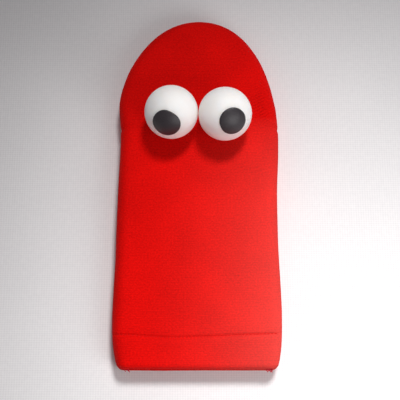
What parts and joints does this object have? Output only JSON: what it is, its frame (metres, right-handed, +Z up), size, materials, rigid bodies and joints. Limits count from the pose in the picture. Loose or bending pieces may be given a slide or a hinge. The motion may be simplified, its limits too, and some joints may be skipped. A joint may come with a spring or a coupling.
{
  "type": "sock puppet",
  "caption": "Hand puppet sewn as a flat knit sleeve with a folding mouth at the closed end, an open hemmed cuff and hollow ball eyes glued side by side on the head.",
  "frame": {"origin": "on the surface it lies on, under the middle of the puppet's bounding box", "axes": "+Y from the open cuff to the snout, +Z up through the eyes, +X across"},
  "size_m": [0.1258, 0.276, 0.0654],
  "materials": {
    "knit": "foam-backed ribbed knit, dull with a soft sheen",
    "thread": "twisted polyester thread",
    "lining": "plain knit lining",
    "board": "uncoated grey-brown card",
    "ball": "matt white with a faint grain",
    "glue": "cloudy hot-melt glue",
    "pupil": "black foam sheet with a soft grey sheen"
  },
  "bodies": {
    "cuff": {"cuff_top_panel": "knit", "cuff_bottom_panel": "knit", "top_hem_stitches": "thread", "bottom_hem_stitches": "thread", "cuff_left_overlock": "thread", "cuff_right_overlock": "thread", "wrist_crease_top": "knit", "wrist_crease_bottom": "knit"},
    "hand": {"hand_top_panel": "knit", "hand_bottom_panel": "knit", "hand_left_overlock": "thread", "hand_right_overlock": "thread", "mouth_fold": "lining", "upper_mouth_crease": "knit", "lower_mouth_crease": "knit"},
    "upper_jaw": {"head_top_panel": "knit", "upper_mouth_lining": "lining", "upper_mouth_board": "board", "upper_lip_stitches": "thread", "left_eye_ball": "ball", "right_eye_ball": "ball", "left_eye_glue": "glue", "right_eye_glue": "glue", "left_pupil": "pupil", "right_pupil": "pupil"},
    "lower_jaw": {"jaw_bottom_panel": "knit", "lower_mouth_lining": "lining", "lower_mouth_board": "board", "lower_lip_stitches": "thread"}
  },
  "joints": [
    {"name": "wrist_bend", "type": "hinge", "parent": "cuff", "child": "hand", "pos_m": [0, -0.048, 0.012], "axis": [1, 0, 0], "range_deg": [-40, 40], "stiffness_Nm_per_rad": 0.05, "deforming": ["wrist_crease_top", "wrist_crease_bottom"]},
    {"name": "upper_jaw_opens", "type": "hinge", "parent": "hand", "child": "upper_jaw", "pos_m": [0, 0.045, 0.012], "axis": [1, 0, 0], "range_deg": [0, 18], "deforming": ["upper_mouth_crease"]},
    {"name": "lower_jaw_opens", "type": "hinge", "parent": "hand", "child": "lower_jaw", "pos_m": [0, 0.045, 0.012], "axis": [-1, 0, 0], "range_deg": [0, 45], "stiffness_Nm_per_rad": 0.02, "deforming": ["lower_mouth_crease"]}
  ]
}
